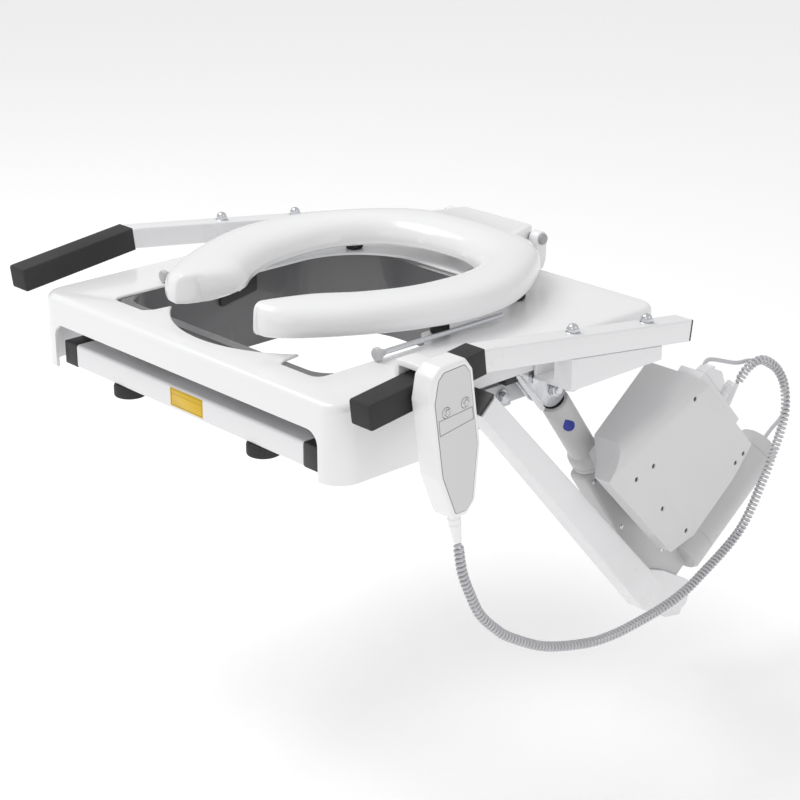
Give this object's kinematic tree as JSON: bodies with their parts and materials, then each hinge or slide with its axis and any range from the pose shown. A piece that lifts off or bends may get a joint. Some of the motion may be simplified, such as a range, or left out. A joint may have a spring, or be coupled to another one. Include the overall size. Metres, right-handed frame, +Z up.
{
  "type": "powered toilet seat lift",
  "caption": "Powered seat lift for a toilet: open-front seat in a white frame with armrests that tips forward on front pivots, driven by a linear actuator at the side, with a wired handset.",
  "frame": {"origin": "middle of the rear pad's underside, where the base rests on the rear of the toilet's rim; Z = 0 is the rim's top", "axes": "+Z up; -Y the user's front, where the frame's pivots are; +X the side that carries the actuator, control box and handset"},
  "size_m": [0.6711, 0.7501, 0.4798],
  "materials": {
    "white_paint": "smooth semi-gloss powder coat",
    "white_plastic": "glossy moulding",
    "guard_grey": "glossy moulding",
    "grey_plastic": "fine-grained satin moulding",
    "pale_grey": "satin moulding",
    "black_plastic": "satin moulding",
    "black_rubber": "dull rubber",
    "zinc": "bright plated steel",
    "grey_cord": "smooth cord sheath"
  },
  "bodies": {
    "base": {"front_crossbar": "white_paint", "crossbar_cap_left": "black_plastic", "crossbar_cap_right": "black_plastic", "base_rail_left": "white_paint", "base_rail_right": "white_paint", "rear_bar": "white_paint", "rear_plate": "zinc", "rear_pad": "black_rubber", "seat_bolt_left": "zinc", "seat_bolt_right": "zinc", "rim_pad_left": "black_rubber", "rim_pad_right": "black_rubber", "leg_tube": "white_paint", "leg_cap": "black_plastic", "leg_bracket": "white_paint", "bracket_bolt": "zinc", "foot_bracket": "white_paint", "foot_pin": "zinc", "pivot_bolt_left": "zinc", "pivot_bolt_right": "zinc", "handset_cord_front": "grey_cord"},
    "lift_frame": {"lift_rail_left": "white_paint", "lift_rail_right": "white_paint", "lift_cross_bar": "white_paint", "seat_shell": "white_plastic", "splash_guard": "guard_grey", "guard_rod_left": "zinc", "guard_rod_right": "zinc", "arm_left": "white_paint", "arm_right": "white_paint", "grip_left": "black_rubber", "grip_right": "black_rubber", "arm_bolt_front_left": "zinc", "arm_bolt_front_right": "zinc", "arm_bolt_rear_left": "zinc", "arm_bolt_rear_right": "zinc", "arm_bracket_left": "white_paint", "arm_bracket_right": "white_paint", "clevis_bracket": "zinc", "clevis_pin": "zinc", "hinge_bracket": "white_plastic", "hinge_pin": "zinc"},
    "ring": {"seat_ring": "white_plastic", "bumper_front_left": "black_rubber", "bumper_front_right": "black_rubber", "bumper_rear_left": "black_rubber", "bumper_rear_right": "black_rubber"},
    "actuator": {"actuator_tube": "grey_plastic", "actuator_housing": "grey_plastic", "control_box": "pale_grey", "box_cover": "pale_grey", "socket_strip": "white_plastic", "motor_plug": "white_plastic", "motor_cable": "grey_cord", "handset_plug": "white_plastic", "handset_cord_rear": "grey_cord"},
    "rod": {"actuator_rod": "zinc"},
    "handset": {"handset_case": "pale_grey"},
    "raise_button": {"button_raise": "grey_plastic"},
    "lower_button": {"button_lower": "grey_plastic"}
  },
  "joints": [
    {"name": "frame_tilt", "type": "hinge", "parent": "base", "child": "lift_frame", "pos_m": [0, -0.413, 0.028], "axis": [1, 0, 0], "range_deg": [0, 30]},
    {"name": "ring_hinge", "type": "hinge", "parent": "lift_frame", "child": "ring", "pos_m": [0, 0.028, 0.134], "axis": [-1, 0, 0], "range_deg": [0, 95]},
    {"name": "actuator_swing", "type": "hinge", "parent": "base", "child": "actuator", "pos_m": [0.242, 0.101, -0.302], "axis": [1, 0, 0], "range_deg": [-6, 0]},
    {"name": "rod_stroke", "type": "slide", "parent": "actuator", "child": "rod", "axis": [0, -0.5787, 0.8155], "range_m": [0, 0.1352]},
    {"name": "handset_lift", "type": "slide", "parent": "lift_frame", "child": "handset", "axis": [0, 0, 1], "range_m": [0, 0.03]},
    {"name": "raise_press", "type": "slide", "parent": "handset", "child": "raise_button", "axis": [-1, 0, 0], "range_m": [0, 0.0018], "stiffness_N_per_m": 600, "springref_m": -0.001},
    {"name": "lower_press", "type": "slide", "parent": "handset", "child": "lower_button", "axis": [-1, 0, 0], "range_m": [0, 0.0018], "stiffness_N_per_m": 600, "springref_m": -0.001}
  ],
  "couplings": [
    {"joint": "actuator_swing", "follows": "frame_tilt", "ratio": -0.196},
    {"joint": "rod_stroke", "follows": "frame_tilt", "m_per_rad": 0.258}
  ]
}
